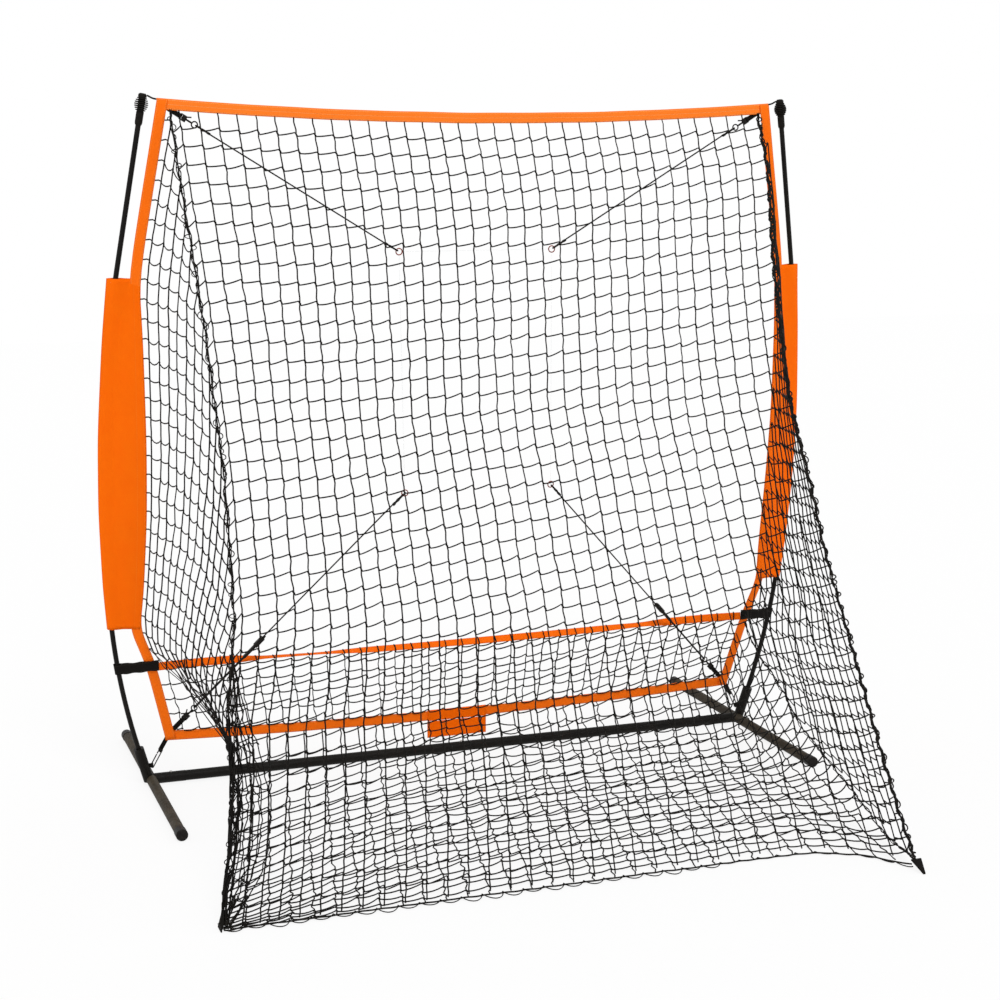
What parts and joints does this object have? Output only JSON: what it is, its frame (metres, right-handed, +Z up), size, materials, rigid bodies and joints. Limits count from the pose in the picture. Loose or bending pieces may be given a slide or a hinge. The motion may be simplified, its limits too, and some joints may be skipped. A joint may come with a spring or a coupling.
{
  "type": "practice net",
  "caption": "Portable ball catching net on two bowed poles, with an open net bag, webbing mouth frame, target cords and a tube base.",
  "frame": {"origin": "on the ground, under the middle of the object's bounding box", "axes": "+X to the right along the base bar, +Y out of the mouth away from the bag, +Z up"},
  "size_m": [1.8256, 1.6074, 1.6649],
  "materials": {
    "black_powder_coated_steel": "satin powder coat",
    "black_pole_sleeve_film": "satin",
    "black_moulded_nylon": "fine moulded grain",
    "black_rubber": "matt",
    "spring_steel": "plain",
    "steel_tube_ferrule": "drawn",
    "orange_polyester_webbing": "woven",
    "black_polyester_webbing": "woven",
    "black_knotted_netting": "braided twine",
    "black_braided_cord": "braided",
    "copper_coated_wire": "satin",
    "clear_line": "smooth"
  },
  "bodies": {
    "frame_and_net": {"apron_net": "black_knotted_netting", "bar_stubs": "black_powder_coated_steel", "base_bar_left": "black_powder_coated_steel", "base_bar_right": "black_powder_coated_steel", "bottom_band": "orange_polyester_webbing", "button_springs": "spring_steel", "cord_hooks": "black_moulded_nylon", "cord_whippings": "black_braided_cord", "corner_tabs": "black_polyester_webbing", "cross_strap": "orange_polyester_webbing", "flap_loop": "orange_polyester_webbing", "floor_net": "black_knotted_netting", "foot_caps": "black_moulded_nylon", "foot_tube_left": "black_powder_coated_steel", "foot_tube_right": "black_powder_coated_steel", "ground_tabs": "black_polyester_webbing", "hem_cord": "black_braided_cord", "lip_net": "black_knotted_netting", "lower_pole_left": "black_pole_sleeve_film", "lower_pole_right": "black_pole_sleeve_film", "net_gather": "black_knotted_netting", "pole_ferrules": "steel_tube_ferrule", "pole_socket_left": "black_powder_coated_steel", "pole_socket_right": "black_powder_coated_steel", "pole_strap_left": "black_polyester_webbing", "pole_strap_right": "black_polyester_webbing", "rear_net": "black_knotted_netting", "rear_net_corner": "black_knotted_netting", "ring_tie_line": "clear_line", "side_band_left": "orange_polyester_webbing", "side_band_right": "orange_polyester_webbing", "side_net_left": "black_knotted_netting", "side_net_right": "black_knotted_netting", "sleeve_left": "orange_polyester_webbing", "sleeve_right": "orange_polyester_webbing", "socket_bushes": "black_moulded_nylon", "socket_plugs": "black_moulded_nylon", "target_rings": "copper_coated_wire", "tension_cord_bottom_left": "black_braided_cord", "tension_cord_bottom_right": "black_braided_cord", "tension_cord_top_left": "black_braided_cord", "tension_cord_top_right": "black_braided_cord", "tie_loop_left": "black_braided_cord", "tie_loop_right": "black_braided_cord", "tie_lugs": "black_powder_coated_steel", "tie_tabs": "black_polyester_webbing", "tie_toggles": "black_moulded_nylon", "tip_cap_left": "black_rubber", "tip_cap_right": "black_rubber", "tip_cords": "black_braided_cord", "top_band": "orange_polyester_webbing", "upper_pole_left": "black_pole_sleeve_film", "upper_pole_right": "black_pole_sleeve_film"},
    "button_left": {"button_left": "spring_steel"},
    "button_middle": {"button_middle": "spring_steel"},
    "button_right": {"button_right": "spring_steel"},
    "cord_adjuster_left": {"cord_adjuster_left": "black_moulded_nylon"},
    "cord_adjuster_right": {"cord_adjuster_right": "black_moulded_nylon"},
    "flap": {"flap": "orange_polyester_webbing"}
  },
  "joints": [
    {"name": "button_left_press", "type": "slide", "parent": "frame_and_net", "child": "button_left", "axis": [0, 0, 1], "range_m": [-0.004, 0], "stiffness_N_per_m": 500, "springref_m": 0.002},
    {"name": "button_middle_press", "type": "slide", "parent": "frame_and_net", "child": "button_middle", "axis": [0, 0, 1], "range_m": [-0.004, 0], "stiffness_N_per_m": 500, "springref_m": 0.002},
    {"name": "button_right_press", "type": "slide", "parent": "frame_and_net", "child": "button_right", "axis": [0, 0, 1], "range_m": [-0.004, 0], "stiffness_N_per_m": 500, "springref_m": 0.002},
    {"name": "cord_adjuster_left_slide", "type": "slide", "parent": "frame_and_net", "child": "cord_adjuster_left", "axis": [0.6729, -0.2059, 0.7105], "range_m": [-0.12, 0]},
    {"name": "cord_adjuster_right_slide", "type": "slide", "parent": "frame_and_net", "child": "cord_adjuster_right", "axis": [-0.6729, -0.2059, 0.7105], "range_m": [-0.12, 0]},
    {"name": "flap_hinge", "type": "hinge", "parent": "frame_and_net", "child": "flap", "pos_m": [-0.0075, 0.38226, 0.09092], "axis": [1, 0, 0], "range_deg": [-60, 80]}
  ]
}
